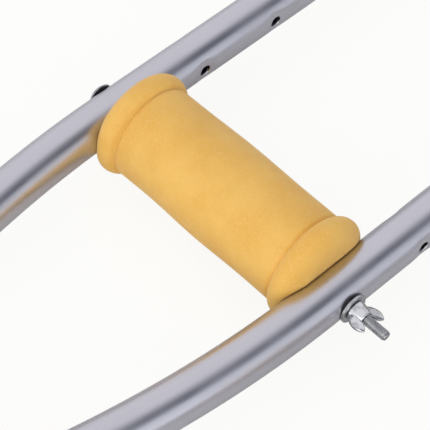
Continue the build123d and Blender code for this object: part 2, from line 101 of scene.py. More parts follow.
def turnOutwards(points, faces):
    # Reverse the winding of a surface that came out inside out. The volume inside is the
    # sum, over each face's two triangles, of corner times the cross of the other two.
    a, b, c, d = (points[faces[:, k]] - points.mean(axis=0) for k in range(4))
    volume = np.einsum("ij,ij->i", a, np.cross(b, c) + np.cross(c, d)).sum()
    return faces if volume > 0 else faces[:, ::-1]


def cappedGrid(points, rows, around):
    # Faces of a grid that is closed round its columns, and a flat cap over each end that
    # is wound to face outwards with them
    plain = gridFaces(rows, around, False, True)
    faces = turnOutwards(points, plain)
    ring = np.arange(around)
    caps = [ring, ring[::-1] + (rows - 1) * around]
    return faces, caps if faces is plain else [cap[::-1] for cap in caps]


def revolved(profile, around):
    # A closed profile of (place, radius) turned about the bolt: radius times cosine across,
    # place along, radius times sine up
    place, size = np.array(profile).T
    p, a = np.meshgrid(place, fullTurn(around), indexing="ij")
    r = np.broadcast_to(size[:, None], p.shape)
    points = np.stack([(r * np.cos(a)).ravel(), p.ravel(), (r * np.sin(a)).ravel()], axis=1)
    return points, turnOutwards(points, gridFaces(len(place), around, True, True))


def meshPiece(name, points, faces, uv=None, caps=()):
    # A smooth object from points in a crutch's millimetres, already moved to its place
    ends = [list(map(int, ring)) for ring in caps]
    mesh = bpy.data.meshes.new(name)
    mesh.from_pydata((points * mm).tolist(), [], faces.tolist() + ends)
    if uv is not None:
        layer = mesh.uv_layers.new(name="UVMap")
        loops = np.zeros(len(mesh.loops), dtype=np.int32)
        mesh.loops.foreach_get("vertex_index", loops)
        layer.data.foreach_set("uv", (uv[loops] * mm).astype(np.float32).ravel())
    mesh.polygons.foreach_set("use_smooth", np.ones(len(mesh.polygons), dtype=bool))
    mesh.validate()
    mesh.update()
    piece = bpy.data.objects.new(name, mesh)
    bpy.context.scene.collection.objects.link(piece)
    return piece


def applyModifiers(piece):
    # Bake what is on the piece into its mesh, so that nothing is left live
    graph = bpy.context.evaluated_depsgraph_get()
    baked = bpy.data.meshes.new_from_object(piece.evaluated_get(graph))
    piece.modifiers.clear()
    piece.data = baked
    return piece


# Materials

def linear(hexColour):
    # sRGB hex to the linear colour that a shader takes
    parts = [int(hexColour[i:i + 2], 16) / 255 for i in (1, 3, 5)]
    return tuple(c / 12.92 if c <= 0.04045 else ((c + 0.055) / 1.055) ** 2.4 for c in parts) + (1.0,)


def addNode(tree, kind, inputs=None, **settings):
    # One node with its settings, and its inputs as values or as links from other nodes
    node = tree.nodes.new(kind)
    for key, value in settings.items():
        setattr(node, key, value)
    for key, value in (inputs or {}).items():
        if isinstance(value, bpy.types.NodeSocket):
            tree.links.new(value, node.inputs[key])
        else:
            node.inputs[key].default_value = value
    return node


def startMaterial(name):
    # A material with one shader, wired to its output
    material = bpy.data.materials.new(name)
    material.use_nodes = True
    tree = material.node_tree
    tree.nodes.clear()
    shader = addNode(tree, "ShaderNodeBsdfPrincipled")
    addNode(tree, "ShaderNodeOutputMaterial", {"Surface": shader.outputs["BSDF"]})
    return material, tree, shader


def linkAll(tree, shader, **sockets):
    # Links into the shader, with an underscore for each space in a socket's name
    for key, value in sockets.items():
        tree.links.new(value, shader.inputs[key.replace("_", " ")])


def satinAluminium(name, alongUv):
    # Aluminium tube, drawn, tumbled and anodised: a soft grey metal with faint streaks
    # along its length from the die, and a fine grain from the acid bath
    metal = {
        "base": "#CDCCD2", "streak": "#C2C3C9", "roughness": 0.34, "roughnessSpread": 0.08,
        "streakLength": 90.0, "streakWidth": 0.9, "grain": 0.35, "grainHeight": 0.010,
        "cloud": 26.0, "streakHeight": 0.006,
    }      # streaks and grain are coarser than the real ones, so that they show
    material, tree, shader = startMaterial(name)
    place = addNode(tree, "ShaderNodeTexCoord").outputs["UV" if alongUv else "Object"]
    stretch = addNode(tree, "ShaderNodeMapping", {
        "Vector": place, "Scale": (1 / (metal["streakLength"] * mm), 1 / (metal["streakWidth"] * mm),
                                   1 / (metal["streakWidth"] * mm))})
    streak = addNode(tree, "ShaderNodeTexNoise", {
        "Vector": stretch.outputs["Vector"], "Scale": 1.0, "Detail": 3.0, "Roughness": 0.6})
    cloud = addNode(tree, "ShaderNodeTexNoise", {
        "Vector": addNode(tree, "ShaderNodeTexCoord").outputs["Object"],
        "Scale": 1 / (metal["cloud"] * mm), "Detail": 2.0})
    grain = addNode(tree, "ShaderNodeTexNoise", {
        "Vector": addNode(tree, "ShaderNodeTexCoord").outputs["Object"],
        "Scale": 1 / (metal["grain"] * mm), "Detail": 1.0})
    colour = addNode(tree, "ShaderNodeMix", {
        "Factor": streak.outputs["Fac"], "A": linear(metal["base"]), "B": linear(metal["streak"])},
        data_type="RGBA")
    rough = addNode(tree, "ShaderNodeMapRange", {
        "Value": cloud.outputs["Fac"], "From Min": 0.3, "From Max": 0.7,
        "To Min": metal["roughness"] - metal["roughnessSpread"] / 2,
        "To Max": metal["roughness"] + metal["roughnessSpread"] / 2})
    lines = addNode(tree, "ShaderNodeBump", {
        "Height": streak.outputs["Fac"], "Distance": metal["streakHeight"] * mm, "Strength": 1.0})
    bump = addNode(tree, "ShaderNodeBump", {
        "Height": grain.outputs["Fac"], "Distance": metal["grainHeight"] * mm, "Strength": 1.0,
        "Normal": lines.outputs["Normal"]})
    shader.inputs["Metallic"].default_value = 1.0
    linkAll(tree, shader, Base_Color=colour.outputs["Result"], Roughness=rough.outputs["Result"],
            Normal=bump.outputs["Normal"])
    return material


def zincPlatedSteel(name, base, roughness):
    # Steel or cast zinc with a bright zinc plate: a cool metal with a slightly pitted skin
    plate = {
        "dull": "#8E9093", "pit": 0.45, "pitHeight": 0.02, "cloud": 4.0,
        "smoother": 0.06, "rougher": 0.12,
    }      # pits are coarser than the real ones, so that they show
    material, tree, shader = startMaterial(name)
    place = addNode(tree, "ShaderNodeTexCoord").outputs["Object"]
    cloud = addNode(tree, "ShaderNodeTexNoise", {
        "Vector": place, "Scale": 1 / (plate["cloud"] * mm), "Detail": 4.0})
    patch = addNode(tree, "ShaderNodeMapRange", {
        "Value": cloud.outputs["Fac"], "From Min": 0.45, "From Max": 0.75})
    pit = addNode(tree, "ShaderNodeTexNoise", {
        "Vector": place, "Scale": 1 / (plate["pit"] * mm), "Detail": 2.0})
    colour = addNode(tree, "ShaderNodeMix", {
        "Factor": patch.outputs["Result"], "A": linear(base), "B": linear(plate["dull"])},
        data_type="RGBA")
    rough = addNode(tree, "ShaderNodeMapRange", {
        "Value": cloud.outputs["Fac"], "To Min": roughness - plate["smoother"],
        "To Max": roughness + plate["rougher"]})
    bump = addNode(tree, "ShaderNodeBump", {
        "Height": pit.outputs["Fac"], "Distance": plate["pitHeight"] * mm, "Strength": 1.0})
    shader.inputs["Metallic"].default_value = 1.0
    linkAll(tree, shader, Base_Color=colour.outputs["Result"], Roughness=rough.outputs["Result"],
            Normal=bump.outputs["Normal"])
    return material


def latexFoam(name):
    # Latex foam, cast in a mould and left with its skin on: matt ochre yellow, faintly
    # mottled, with pinholes where bubbles broke the skin and a few darker specks
    foam = {
        "base": "#EEBE5F", "deep": "#E8B453", "pale": "#F2C87A", "speck": "#C2914A",
        "mottle": 15.0, "pore": 1.1, "poreHeight": 0.045, "wave": 7.0, "waveHeight": 0.10,
        "speckGap": 16.0, "speckSize": 0.034, "speckMost": 0.6, "roughness": 0.60, "gloss": 0.35,
        "fuzz": 0.35, "fuzzRoughness": 0.45, "fuzzColour": "#FFE9C4",
        "glow": 0.12, "glowDepth": (4.0, 2.0, 1.0),      # light scattered in the skin
    }      # pores are coarser than the real ones, so that they show
    material, tree, shader = startMaterial(name)
    place = addNode(tree, "ShaderNodeTexCoord").outputs["Object"]
    mottle = addNode(tree, "ShaderNodeTexNoise", {
        "Vector": place, "Scale": 1 / (foam["mottle"] * mm), "Detail": 3.0, "Roughness": 0.55})
    pore = addNode(tree, "ShaderNodeTexNoise", {
        "Vector": place, "Scale": 1 / (foam["pore"] * mm), "Detail": 2.0})
    wave = addNode(tree, "ShaderNodeTexNoise", {
        "Vector": place, "Scale": 1 / (foam["wave"] * mm), "Detail": 1.0})
    specks = addNode(tree, "ShaderNodeTexVoronoi", {
        "Vector": place, "Scale": 1 / (foam["speckGap"] * mm)})
    isSpeck = addNode(tree, "ShaderNodeMapRange", {
        "Value": specks.outputs["Distance"], "From Min": foam["speckSize"],
        "From Max": foam["speckSize"] * 2, "To Min": foam["speckMost"], "To Max": 0.0})
    tone = addNode(tree, "ShaderNodeMapRange", {
        "Value": mottle.outputs["Fac"], "From Min": 0.35, "From Max": 0.65})
    twoTone = addNode(tree, "ShaderNodeMix", {
        "Factor": tone.outputs["Result"], "A": linear(foam["deep"]), "B": linear(foam["base"])},
        data_type="RGBA")
    bright = addNode(tree, "ShaderNodeMapRange", {
        "Value": pore.outputs["Fac"], "From Min": 0.45, "From Max": 0.8, "To Max": 0.5})
    grainy = addNode(tree, "ShaderNodeMix", {
        "Factor": bright.outputs["Result"], "A": twoTone.outputs["Result"], "B": linear(foam["pale"])},
        data_type="RGBA")
    colour = addNode(tree, "ShaderNodeMix", {
        "Factor": isSpeck.outputs["Result"], "A": grainy.outputs["Result"], "B": linear(foam["speck"])},
        data_type="RGBA")
    soft = addNode(tree, "ShaderNodeBump", {
        "Height": wave.outputs["Fac"], "Distance": foam["waveHeight"] * mm, "Strength": 1.0})
    bump = addNode(tree, "ShaderNodeBump", {
        "Height": pore.outputs["Fac"], "Distance": foam["poreHeight"] * mm, "Strength": 1.0,
        "Normal": soft.outputs["Normal"]})
    shader.inputs["Roughness"].default_value = foam["roughness"]
    shader.inputs["Specular IOR Level"].default_value = foam["gloss"]
    shader.inputs["Sheen Weight"].default_value = foam["fuzz"]
    shader.inputs["Sheen Roughness"].default_value = foam["fuzzRoughness"]
    shader.inputs["Sheen Tint"].default_value = linear(foam["fuzzColour"])
    shader.inputs["Subsurface Weight"].default_value = foam["glow"]
    shader.inputs["Subsurface Radius"].default_value = tuple(depth * mm for depth in foam["glowDepth"])
    shader.inputs["Subsurface Scale"].default_value = 1.0
    linkAll(tree, shader, Base_Color=colour.outputs["Result"], Normal=bump.outputs["Normal"])
    return material


def mouldedPolypropylene(name, base, shade):
    # Polypropylene, injection moulded in a spark-eroded tool: an even fine leathery grain
    plastic = {
        "grain": 0.7, "grainHeight": 0.03, "grainStrength": 0.6, "cloud": 12.0,
        "roughness": 0.48, "spread": 0.08,
    }      # the grain is coarser than the real one, so that it shows
    material, tree, shader = startMaterial(name)
    place = addNode(tree, "ShaderNodeTexCoord").outputs["Object"]
    grain = addNode(tree, "ShaderNodeTexVoronoi", {
        "Vector": place, "Scale": 1 / (plastic["grain"] * mm)}, feature="SMOOTH_F1")
    cloud = addNode(tree, "ShaderNodeTexNoise", {
        "Vector": place, "Scale": 1 / (plastic["cloud"] * mm), "Detail": 3.0})
    colour = addNode(tree, "ShaderNodeMix", {
        "Factor": cloud.outputs["Fac"], "A": linear(base), "B": linear(shade)}, data_type="RGBA")
    rough = addNode(tree, "ShaderNodeMapRange", {
        "Value": cloud.outputs["Fac"], "To Min": plastic["roughness"] - plastic["spread"],
        "To Max": plastic["roughness"] + plastic["spread"]})
    bump = addNode(tree, "ShaderNodeBump", {
        "Height": grain.outputs["Distance"], "Distance": plastic["grainHeight"] * mm,
        "Strength": plastic["grainStrength"]})
    linkAll(tree, shader, Base_Color=colour.outputs["Result"], Roughness=rough.outputs["Result"],
            Normal=bump.outputs["Normal"])
    return material


def tipRubber(name):
    # Grey natural rubber, compression moulded: matt, with chalky bloom and scuffs
    rubber = {
        "base": "#4A4845", "bloom": "#6E6B66", "bloomSize": 9.0, "bloomMost": 0.7, "grain": 0.5,
        "grainHeight": 0.03, "grainStrength": 0.8, "roughness": 0.72, "spread": 0.1,
    }      # the grain is coarser than the real one, so that it shows
    material, tree, shader = startMaterial(name)
    place = addNode(tree, "ShaderNodeTexCoord").outputs["Object"]
    bloom = addNode(tree, "ShaderNodeTexNoise", {
        "Vector": place, "Scale": 1 / (rubber["bloomSize"] * mm), "Detail": 5.0, "Roughness": 0.65})
    dust = addNode(tree, "ShaderNodeMapRange", {
        "Value": bloom.outputs["Fac"], "From Min": 0.4, "From Max": 0.8,
        "To Max": rubber["bloomMost"]})
    grain = addNode(tree, "ShaderNodeTexNoise", {
        "Vector": place, "Scale": 1 / (rubber["grain"] * mm), "Detail": 2.0})
    colour = addNode(tree, "ShaderNodeMix", {
        "Factor": dust.outputs["Result"], "A": linear(rubber["base"]), "B": linear(rubber["bloom"])},
        data_type="RGBA")
    rough = addNode(tree, "ShaderNodeMapRange", {
        "Value": bloom.outputs["Fac"], "To Min": rubber["roughness"] - rubber["spread"],
        "To Max": rubber["roughness"] + rubber["spread"]})
    bump = addNode(tree, "ShaderNodeBump", {
        "Height": grain.outputs["Fac"], "Distance": rubber["grainHeight"] * mm,
        "Strength": rubber["grainStrength"]})
    linkAll(tree, shader, Base_Color=colour.outputs["Result"], Roughness=rough.outputs["Result"],
            Normal=bump.outputs["Normal"])
    return material


tubeMetal = satinAluminium("satin anodised aluminium tube", True)
rivetMetal = satinAluminium("satin aluminium rivet", False)
nutMetal = zincPlatedSteel("bright zinc plated casting", "#D9DBDD", 0.20)
boltMetal = zincPlatedSteel("zinc plated steel", "#B4B6B8", 0.30)
springMetal = zincPlatedSteel("spring steel strip", "#8A8C90", 0.32)
foamSkin = latexFoam("latex foam with moulded skin")
greyPlastic = mouldedPolypropylene("grey moulded polypropylene", "#8B8E92", "#7D8084")
corePlastic = mouldedPolypropylene("ivory moulded polypropylene", "#CFC8B8", "#C4BDAC")
rubberSkin = tipRubber("grey moulded rubber")

nodeFinish = {
    "side_tube_plugs": greyPlastic, "underarm_support": greyPlastic, "underarm_rivets": rivetMetal,
    "sleeve_cap": greyPlastic, "leg_collar": greyPlastic, "leg_bolts": boltMetal,
    "leg_nuts": boltMetal, "leg_glide": greyPlastic, "upper_button": nutMetal,
    "lower_button": nutMetal, "rubber_tip": rubberSkin, "tip_washer": boltMetal,
    "grip_washer": boltMetal,
}      # the CAD pieces that are shown as they are
for side in crutchSides:
    for node, finish in nodeFinish.items():
        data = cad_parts[side + "_" + node].data
        data.materials.clear()
        data.materials.append(finish)
print("materials made:", len(bpy.data.materials))


def finishPiece(piece, side, node, body, material):
    # Give a new piece its finish, the CAD node that it stands for and the body that it rides on
    piece.data.materials.clear()
    piece.data.materials.append(material)
    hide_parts(side + "_" + node)
    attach(piece, side + "_" + body)
    return piece


# Tubes with punched holes

tubeFigures = {
    "radius": 11.0, "wall": 1.2, "spacing": 140.0, "bendStart": -6.8, "bendRadius": 593.0,
    "bendAngle": 15.0, "returnRadius": 300.0, "footOffset": 24.0, "holePitch": 47.6,
    "holeCount": 7, "holeRadius": 3.25, "boltHoleRadius": 3.2,
    "around": 96, "patchCells": 9, "holeCells": 4, "step": 3.0,
    "dimple": 0.8, "dimpleSpread": 2.3, "dimpleReach": 4,
}


def sideRoute():
    # Runs of the side tube from its top down: length and curvature, bending in and back
    t = tubeFigures
    foot, top = nodeSpan("head_side_tube", 0)
    turn = math.radians(t["bendAngle"])
    stepIn = (t["bendRadius"] + t["returnRadius"]) * (1 - math.cos(turn))
    slope = (t["spacing"] / 2 - t["footOffset"] - stepIn) / math.sin(turn)
    bends = (t["bendRadius"] + t["returnRadius"]) * math.sin(turn) + slope * math.cos(turn)
    return top, [
        (top - t["bendStart"], 0.0), (t["bendRadius"] * turn, 1 / t["bendRadius"]), (slope, 0.0),
        (t["returnRadius"] * turn, -1 / t["returnRadius"]), (t["bendStart"] - bends - foot, 0.0),
    ]


def followRoute(along, top, runs, across):
    # Place and heading at each length along the runs: straight, or round an arc of that
    # curvature. The heading is the angle that the tube has turned in towards the leg.
    x, y, heading = np.zeros_like(along), np.zeros_like(along), np.zeros_like(along)
    startX, startY, startHeading, startLength = top, across, 0.0, 0.0
    for length, curvature in runs:
        here = along >= startLength - 1e-9
        d = along[here] - startLength
        angle = startHeading + curvature * d
        if curvature:
            x[here] = startX - (np.sin(angle) - math.sin(startHeading)) / curvature
            y[here] = startY + (np.cos(angle) - math.cos(startHeading)) / curvature
        else:
            x[here] = startX - d * math.cos(startHeading)
            y[here] = startY - d * math.sin(startHeading)
        heading[here] = angle
        endAngle = startHeading + curvature * length
        if curvature:
            startX -= (math.sin(endAngle) - math.sin(startHeading)) / curvature
            startY += (math.cos(endAngle) - math.cos(startHeading)) / curvature
        else:
            startX -= length * math.cos(startHeading)
            startY -= length * math.sin(startHeading)
        startHeading, startLength = endAngle, startLength + length
    return x, y, heading


def angleFrom(angle, start):
    # The turn from one angle to another, within half a turn each way
    return np.mod(angle - start + math.pi, 2 * math.pi) - math.pi


def holedTube(radius, length, holes, route):
    # A tube wall on a grid of length and angle. Round each hole the grid is drawn from a
    # square of cells to a circle, the cells inside are left out, and the wall dips towards
    # the rim as punching leaves it. holes are (length, angle, hole radius, dip).
    t = tubeFigures
    cell = 2 * math.pi * radius / t["around"]
    patch, inner = t["patchCells"], t["holeCells"]
    marks = {0.0, length}
    for spot, angle, holeRadius, dip in holes:
        marks |= {round(spot + k * cell, 5) for k in range(-patch, patch + 1)}
    marks = np.array(sorted(m for m in marks if 0 <= m <= length))
    gaps = np.diff(marks)
    counts = np.maximum(1, np.ceil(gaps / t["step"])).astype(int)
    along = np.concatenate([np.linspace(a, b, n, endpoint=False)
                            for a, b, n in zip(marks[:-1], marks[1:], counts)] + [[length]])
    around = fullTurn(t["around"])
    s, a = np.meshgrid(along, around, indexing="ij")
    r = np.full_like(s, radius)
    gone = np.zeros((len(along) - 1, t["around"]), dtype=bool)
    newS, newA = s.copy(), a.copy()
    for spot, angle, holeRadius, dip in holes:
        ds = (s - spot) / cell
        da = angleFrom(a, angle) * radius / cell
        square = np.maximum(np.abs(ds), np.abs(da))
        size = np.hypot(ds, da) + 1e-9
        near = square < patch
        blend = np.clip((square - inner) / (patch - inner), 0, 1)
        rim = holeRadius / cell
        scale = (1 - blend) * rim / size + blend
        newS[near] = (spot + ds * scale * cell)[near]
        newA[near] = (angle + da * scale * cell / radius)[near]
        dist = np.hypot(newS - spot, angleFrom(newA, angle) * radius)
        pastRim = np.clip(dist - holeRadius, 0, None) / t["dimpleSpread"]
        r -= dip * np.exp(-pastRim ** 2) * (dist < t["dimpleReach"] * holeRadius)
        middleS = (along[:-1] + along[1:])[:, None] / 2
        middleA = around[None, :] + math.pi / t["around"]
        cellA = angleFrom(middleA, angle) * radius / cell
        gone |= (np.abs((middleS - spot) / cell) < inner) & (np.abs(cellA) < inner)
    x, y, heading = route(newS.ravel())
    side, up = r.ravel() * np.cos(newA.ravel()), r.ravel() * np.sin(newA.ravel())
    points = np.stack([x - side * np.sin(heading), y + side * np.cos(heading), up], axis=1)
    faces = gridFaces(len(along), t["around"], False, True)[~gone.ravel()]
    uv = np.stack([s.ravel(), (a * radius).ravel()], axis=1)
    return points, faces, uv


def wallTube(piece, wall):
    # Give the drawn skin its thickness, inwards
    skin = piece.modifiers.new("wall", "SOLIDIFY")
    skin.thickness = wall * mm
    skin.offset = -1.0
    skin.use_even_offset = False
    return applyModifiers(piece)


def outwardTube(points, faces, axisPoints):
    # Flip the skin if its faces look at the tube's own axis
    corner = points[faces]
    normal = np.cross(corner[:, 1] - corner[:, 0], corner[:, 2] - corner[:, 0])
    outward = corner.mean(axis=1) - axisPoints[faces].mean(axis=1)
    return faces if np.einsum("ij,ij->i", normal, outward).sum() > 0 else faces[:, ::-1]


def buildTube(side, node, body, radius, wall, length, holes, route):
    # Skin, wall, finish and body of one tube; its UV map runs along and round it
    points, faces, uv = holedTube(radius, length, holes, route)
    x, y = route(uv[:, 0])[:2]
    faces = outwardTube(points, faces, np.stack([x, y, np.zeros_like(x)], axis=1))
    name = side + "_" + node + "_drawn"
    piece = wallTube(meshPiece(name, points + spots[side], faces, uv), wall)
    return finishPiece(piece, side, node, body, tubeMetal)


def sideTubes(side):
    # The two bent tubes, each with its row of grip holes and the leg bolts' holes
    t = tubeFigures
    top, runs = sideRoute()
    length = sum(run[0] for run in runs)
    footEnd = nodeSpan("head_side_tube", 0)[0]
    for node, sign in (("head_side_tube", 1), ("nut_side_tube", -1)):
        def route(along, sign=sign):
            x, y, heading = followRoute(along, top, runs, t["spacing"] / 2)
            return x, sign * y, sign * heading
        holes = [(top - i * t["holePitch"], angle, t["holeRadius"], t["dimple"])
                 for i in range(t["holeCount"]) for angle in (0, math.pi)]
        holes += [(length - (place - footEnd), angle, t["boltHoleRadius"], 0.0)
                  for place in legBoltPlaces() for angle in (0, math.pi)]
        buildTube(side, node, "crutch", t["radius"], t["wall"], length, holes, route)


def legBoltPlaces():
    # The two leg bolts, found from their node's ends
    low, high = nodeSpan("leg_bolts", 0)
    under, over = nodeSpan("leg_bolts", 2)
    halfHead = (over - under) / 2
    return [high - halfHead, low + halfHead]


legFigures = {"sleeveRadius": 12.7, "sleeveWall": 1.4, "legRadius": 11.0, "legWall": 1.2,
              "holePitch": 25.4, "holeCount": 7, "holeRadius": 3.25, "dimple": 0.12}


def legTubes(side):
    # The sleeve with its row of button holes and bolt holes, and the leg with one pair
    g = legFigures
    button = sum(nodeSpan("upper_button", 0)) / 2
    upright = (math.pi / 2, 3 * math.pi / 2)
    for node, body, radius, wall in (("leg_sleeve", "crutch", g["sleeveRadius"], g["sleeveWall"]),
                                     ("leg_tube", "leg", g["legRadius"], g["legWall"])):
        low, high = nodeSpan(node, 0)

        def route(along, high=high):
            return high - along, np.zeros_like(along), np.zeros_like(along)
        rows = g["holeCount"] if node == "leg_sleeve" else 1
        holes = [(high - button + i * g["holePitch"], angle, g["holeRadius"], g["dimple"])
                 for i in range(rows) for angle in upright]
        if node == "leg_sleeve":
            holes += [(high - place, angle, tubeFigures["boltHoleRadius"], 0.0)
                      for place in legBoltPlaces() for angle in (0, math.pi)]
        buildTube(side, node, body, radius, wall, high - low, holes, route)


# Foam hand grip

gripFigures = {
    "radius": 23.7, "crown": 0.5, "offset": 2.6, "lift": 1.0, "crease": 50.0, "creaseDepth": 1.1,
    "creaseWidth": 1.3, "collarRadius": 26.7, "collarPlace": 55.6, "reach": 63.3, "endRadius": 14.0,
    "beadPower": 2.2, "boltHole": 3.0, "bore": 15.1, "coreRadius": 15.0, "coreEnd": 58.0,
    "coreEdge": 0.6, "coreGap": 0.3, "tubeGap": 0.35, "skinDepth": 3.0,
    "waves": [(0.18, 3, 0.05, 0.0), (0.14, 5, -0.09, 1.3), (0.22, 2, 0.11, 0.4)],
    "outer": 280, "cap": 26, "inner": 14, "around": 192,
}      # waves: height, number round, turn for each millimetre along, start


def gripProfile():
    # A closed loop of (place along the bolt, radius): a crowned barrel, a crease, a rolled
    # collar made of two quarter ovals, the end wall with the bolt's hole, and the core's bore
    g = gripFigures
    y = g["reach"] * np.sin(np.linspace(-math.pi / 2, math.pi / 2, g["outer"]))
    far = np.abs(y)
    barrel = g["radius"] + g["crown"] * (1 - (y / g["crease"]) ** 2)
    barrel = barrel - g["creaseDepth"] * np.exp(-((far - g["crease"]) / g["creaseWidth"]) ** 2)
    foot = g["radius"] - g["creaseDepth"]
    inSide = np.clip((g["collarPlace"] - far) / (g["collarPlace"] - g["crease"]), 0, 1)
    outSide = np.clip((far - g["collarPlace"]) / (g["reach"] - g["collarPlace"]), 0, 1)
    lip = g["collarRadius"] - g["endRadius"]
    bead = foot + (g["collarRadius"] - foot) * np.sqrt(np.clip(1 - inSide ** g["beadPower"], 0, 1))
    bead = bead - lip * (1 - np.sqrt(np.clip(1 - outSide ** 2, 0, 1)))
    radius = np.where(far < g["crease"], barrel, bead)
    capRadius = np.linspace(radius[-1], g["boltHole"], g["cap"] + 2)[1:-1]
    hole = np.full(2, g["boltHole"])
    innerEnd = g["coreEnd"] + g["coreGap"]
    holeY = np.array([g["reach"], innerEnd])
    boreY = np.linspace(innerEnd, -innerEnd, g["inner"])
    place = np.concatenate([y, np.full(g["cap"], g["reach"]), holeY, boreY, -holeY[::-1],
                            np.full(g["cap"], -g["reach"])])
    size = np.concatenate([radius, capRadius, hole, np.full(g["inner"], g["bore"]), hole,
                           capRadius[::-1]])
    return place, size


def pressToTubes(points):
    # Foam that would lie inside a side tube is pushed back along the bolt to the tube's wall:
    # half the spacing, less the root of the tube's radius squared less the height squared
    t = tubeFigures
    clear = t["radius"] + gripFigures["tubeGap"]
    height = np.clip(clear ** 2 - points[:, 2] ** 2, 0, None)
    limit = t["spacing"] / 2 - np.sqrt(height)
    pressed = points.copy()
    inside = np.abs(points[:, 2]) < clear
    pressed[:, 1] = np.where(inside, np.clip(points[:, 1], -limit, limit), points[:, 1])
    return pressed


def handGrip(side):
    # The profile turned about the bolt. The skin is hand-finished: its radius wobbles by
    # three slow sine waves of place and angle, and it sits a little off the bolt's axis.
    # Both fade out towards the bore.
    g = gripFigures
    place, size = gripProfile()
    p, a = np.meshgrid(place, fullTurn(g["around"]), indexing="ij")
    r = np.broadcast_to(size[:, None], p.shape)
    outside = np.clip((r - g["bore"] - 2) / g["skinDepth"], 0, 1)
    r = r + outside * sum(high * np.sin(count * a + slope * p + start)
                          for high, count, slope, start in g["waves"])
    shift = np.clip((r - g["bore"]) / g["skinDepth"], 0, 1)
    x = r * np.cos(a) + g["offset"] * shift
    z = r * np.sin(a) + g["lift"] * shift
    points = pressToTubes(np.stack([x.ravel(), p.ravel(), z.ravel()], axis=1))
    faces = turnOutwards(points, gridFaces(len(place), g["around"], True, True))
    piece = meshPiece(side + "_hand_grip_foam", points + spots[side], faces)
    finishPiece(piece, side, "hand_grip", "grip", foamSkin)
    return piece


def gripCore(side):
    # The dowel in the foam: a plain cylinder with the bolt's hole through it. It stops
    # short of the tubes, where the foam closes over its ends.
    g = gripFigures
    end, hole, radius, edge = g["coreEnd"], g["boltHole"], g["coreRadius"], g["coreEdge"]
    profile = [(-end, radius - edge), (-end + edge, radius), (end - edge, radius),
               (end, radius - edge), (end, hole), (-end, hole)]
    points, faces = revolved(profile, g["around"])
    piece = meshPiece(side + "_grip_core_dowel", points + spots[side], faces)
    return finishPiece(piece, side, "grip_core", "grip", corePlastic)


# Underarm cushion

cushionFigures = {
    "dip": 15.0, "top": 36.0, "skirt": 8.0, "length": 208.0, "thickness": 54.0,
    "sectionPower": 2.9, "endPower": 4.5, "endDrop": 7.5, "endDropPower": 12,
    "supportLength": 184.0, "supportThickness": 30.0, "supportFloor": 14.0, "supportDip": 11.0,
    "gap": 0.5, "along": 220, "around": 128,
}


def underarmCushion(side):
    # A rounded-square section carried across the crutch under a dished top line. It closes
    # to a point at each end by the same kind of curve, and a pocket is pressed into its
    # underside for the support.
    c = cushionFigures
    top = nodeSpan("head_side_tube", 0)[1]
    sweep = np.linspace(-math.pi / 2, math.pi / 2, c["along"])
    endOut, endIn = np.sin(sweep), np.cos(sweep)
    place = np.sign(endOut) * np.abs(endOut) ** (2 / c["endPower"]) * c["length"] / 2
    narrow = np.clip(np.abs(endIn), 1e-4, 1) ** (2 / c["endPower"])
    p, a = np.meshgrid(place, fullTurn(c["around"]), indexing="ij")
    n = np.broadcast_to(narrow[:, None], p.shape)
    out = np.abs(2 * p) / c["length"]
    high = top + c["top"] + c["dip"] * out ** 2 - c["endDrop"] * out ** c["endDropPower"]
    low = np.full_like(p, top + c["skirt"])
    across, up = superCurve(a, c["sectionPower"])
    x = (high + low) / 2 + (high - low) / 2 * up * n
    z = c["thickness"] / 2 * across * n
    points = np.stack([x.ravel(), p.ravel(), z.ravel()], axis=1)
    inPocket = (np.abs(points[:, 1]) < c["supportLength"] / 2 + c["gap"]) \
        & (np.abs(points[:, 2]) < c["supportThickness"] / 2 + c["gap"])
    ceiling = top + c["supportFloor"] + c["gap"] \
        + c["supportDip"] * (2 * points[:, 1] / c["supportLength"]) ** 2
    points[:, 0] = np.where(inPocket, np.maximum(points[:, 0], ceiling), points[:, 0])
    faces, caps = cappedGrid(points, c["along"], c["around"])
    piece = meshPiece(side + "_underarm_cushion_foam", points + spots[side], faces, caps=caps)
    finishPiece(piece, side, "underarm_cushion", "crutch", foamSkin)
    return piece


# Grip bolt with its rolled thread

boltFigures = {
    "radius": 2.5, "headRadius": 6.5, "headHeight": 3.2, "rim": 0.5, "rimRound": 0.25,
    "pitch": 0.8, "threadDepth": 0.42, "threadLength": 34.0, "toothPower": 1.3, "runOut": 2.0,
    "point": 0.9, "pointDepth": 0.45, "around": 48, "perTurn": 10, "headRows": 24,
}


